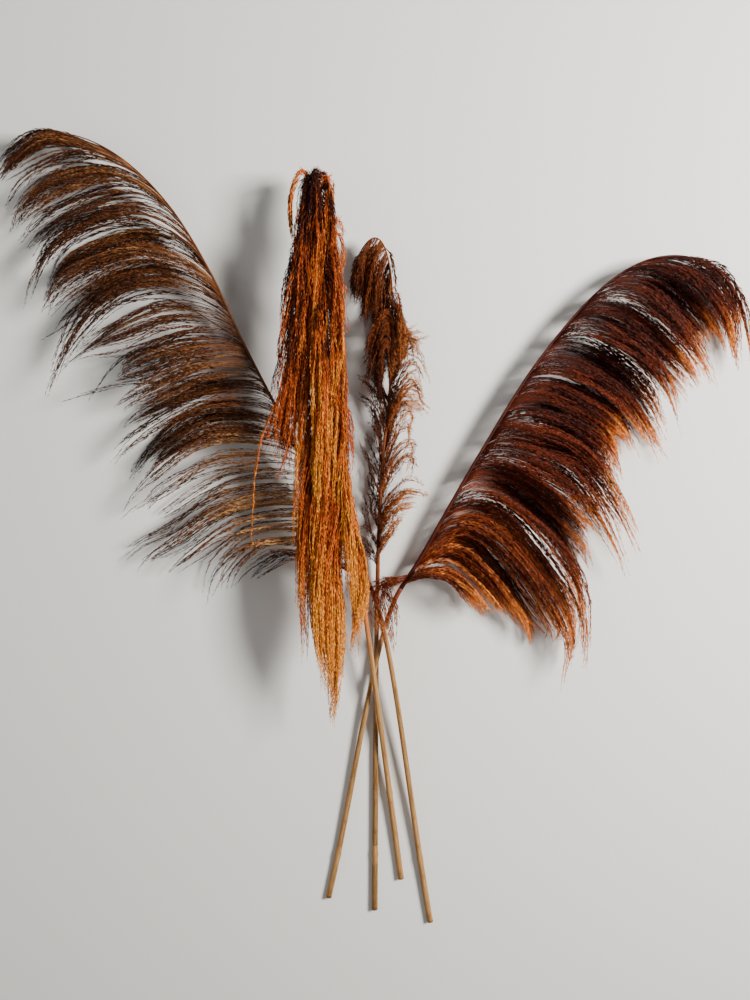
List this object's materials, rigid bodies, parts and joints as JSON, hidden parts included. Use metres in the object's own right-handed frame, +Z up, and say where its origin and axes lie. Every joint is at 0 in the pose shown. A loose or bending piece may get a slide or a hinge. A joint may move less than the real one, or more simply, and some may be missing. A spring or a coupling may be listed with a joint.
{
  "type": "bundle of pampas grass",
  "caption": "Loose bunch of dried rust-orange pampas grass lying on a surface: bare cut stems that cross, then fan out into long, one-sided plumes of drooping locks.",
  "frame": {"origin": "bottom centre of the bundle's box, on the surface it lies on", "axes": "+Y runs from the cut stem ends to the tops of the plumes, +X is to the right seen from above with the plumes away from you, +Z is up from the surface"},
  "size_m": [1.0254, 1.1518, 0.1211],
  "materials": {
    "stem": "dry, matt, finely ribbed straw with a clean pithy cut",
    "plume": "dry feathery spikelets, dark red-brown inside and orange at the tips"
  },
  "bodies": {
    "root": {"stem_left": "stem", "stem_right": "stem", "stem_front": "stem", "stem_back": "stem", "plume_left": "plume", "plume_right": "plume", "plume_front": "plume", "plume_back": "plume"}
  },
  "joints": []
}
